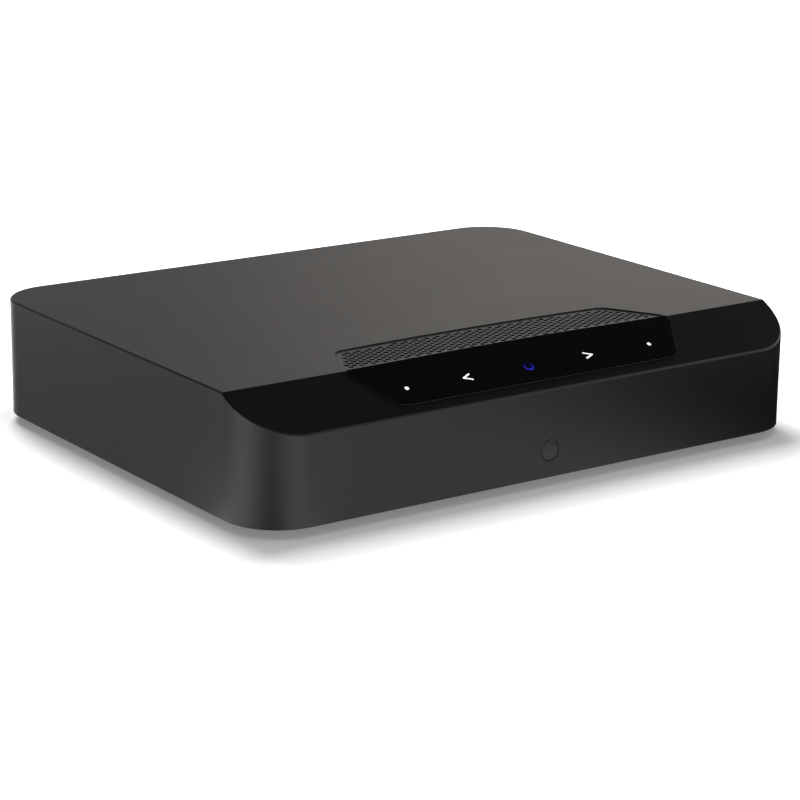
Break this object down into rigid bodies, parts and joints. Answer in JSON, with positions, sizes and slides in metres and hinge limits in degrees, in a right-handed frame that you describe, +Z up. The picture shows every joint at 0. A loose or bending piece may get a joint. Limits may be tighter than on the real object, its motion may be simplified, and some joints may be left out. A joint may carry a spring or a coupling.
{
  "type": "streaming amplifier",
  "caption": "Low rectangular amplifier with rounded corners, a sloped front with a black touch panel, a perforated top vent, and screw posts and sockets at the back.",
  "frame": {"origin": "on the surface that the feet stand on, under the middle of the overall box", "axes": "+X to the right seen from the front, +Y to the back where the posts are, +Z up"},
  "size_m": [0.219, 0.193, 0.044],
  "materials": {
    "case": "fine satin texture, very dark grey",
    "case_base": "satin black",
    "grille": "satin dark grey, perforated",
    "panel": "smooth black touch surface",
    "light_guide": "milky, lets the indicator light through",
    "window": "dark filter window",
    "black_plastic": "black moulded plastic",
    "socket_metal": "plated steel",
    "gold": "gold plated",
    "rubber": "matt black",
    "steel": "zinc plated",
    "circuit_board": "green solder mask",
    "aluminium": "extruded",
    "ferrite": "dark sintered",
    "copper": "enamelled copper winding",
    "component": "electronic parts",
    "glass": "clear fuse tube"
  },
  "bodies": {
    "root": {"top_shell": "case", "base_plate": "case_base", "case_screws": "steel", "rubber_feet": "rubber", "vent_grille": "grille", "touch_panel": "panel", "light_guide": "light_guide", "touch_board": "circuit_board", "ir_window": "window", "ir_receiver": "component", "front_board": "circuit_board", "rear_panel": "black_plastic", "sound_panel": "black_plastic", "ethernet_socket": "black_plastic", "hdmi_socket": "socket_metal", "hdmi_tongue": "black_plastic", "usb_socket": "socket_metal", "usb_tongue": "black_plastic", "audio_socket": "black_plastic", "sub_socket": "gold", "sub_core": "black_plastic", "mains_inlet": "black_plastic", "mains_pins": "gold", "terminal_block": "black_plastic", "post_nuts": "steel", "post_stud_1": "gold", "post_stud_2": "gold", "post_stud_3": "gold", "post_stud_4": "gold", "main_board": "circuit_board", "power_board": "circuit_board", "board_standoffs": "steel", "board_screws": "steel", "transformer_core": "ferrite", "transformer_winding": "copper", "tank_capacitors": "component", "line_choke": "ferrite", "line_fuse": "glass", "power_heatsink": "aluminium", "chips": "component", "amp_heatsink": "aluminium", "processor_heatsink": "aluminium", "output_coils": "ferrite", "film_capacitors": "component", "supply_capacitors": "component", "network_module": "circuit_board", "shield_can": "socket_metal", "antennas": "circuit_board", "flat_cable": "black_plastic"},
    "post_insert_1": {"post_insert_1": "gold"},
    "post_cap_1": {"post_cap_1": "black_plastic"},
    "post_insert_2": {"post_insert_2": "gold"},
    "post_cap_2": {"post_cap_2": "black_plastic"},
    "post_insert_3": {"post_insert_3": "gold"},
    "post_cap_3": {"post_cap_3": "black_plastic"},
    "post_insert_4": {"post_insert_4": "gold"},
    "post_cap_4": {"post_cap_4": "black_plastic"}
  },
  "joints": [
    {"name": "post_1_travel", "type": "slide", "parent": "root", "child": "post_insert_1", "axis": [0, 1, 0], "range_m": [0, 0.005]},
    {"name": "post_1_turn", "type": "hinge", "parent": "post_insert_1", "child": "post_cap_1", "pos_m": [0.02029, 0.087, 0.022], "axis": [0, 1, 0], "range_deg": [0, 1800]},
    {"name": "post_2_travel", "type": "slide", "parent": "root", "child": "post_insert_2", "axis": [0, 1, 0], "range_m": [0, 0.005]},
    {"name": "post_2_turn", "type": "hinge", "parent": "post_insert_2", "child": "post_cap_2", "pos_m": [0.03929, 0.087, 0.022], "axis": [0, 1, 0], "range_deg": [0, 1800]},
    {"name": "post_3_travel", "type": "slide", "parent": "root", "child": "post_insert_3", "axis": [0, 1, 0], "range_m": [0, 0.005]},
    {"name": "post_3_turn", "type": "hinge", "parent": "post_insert_3", "child": "post_cap_3", "pos_m": [0.05829, 0.087, 0.022], "axis": [0, 1, 0], "range_deg": [0, 1800]},
    {"name": "post_4_travel", "type": "slide", "parent": "root", "child": "post_insert_4", "axis": [0, 1, 0], "range_m": [0, 0.005]},
    {"name": "post_4_turn", "type": "hinge", "parent": "post_insert_4", "child": "post_cap_4", "pos_m": [0.07729, 0.087, 0.022], "axis": [0, 1, 0], "range_deg": [0, 1800]}
  ],
  "couplings": [
    {"joint": "post_1_travel", "follows": "post_1_turn", "m_per_rad": 0.00015915},
    {"joint": "post_2_travel", "follows": "post_2_turn", "m_per_rad": 0.00015915},
    {"joint": "post_3_travel", "follows": "post_3_turn", "m_per_rad": 0.00015915},
    {"joint": "post_4_travel", "follows": "post_4_turn", "m_per_rad": 0.00015915}
  ]
}
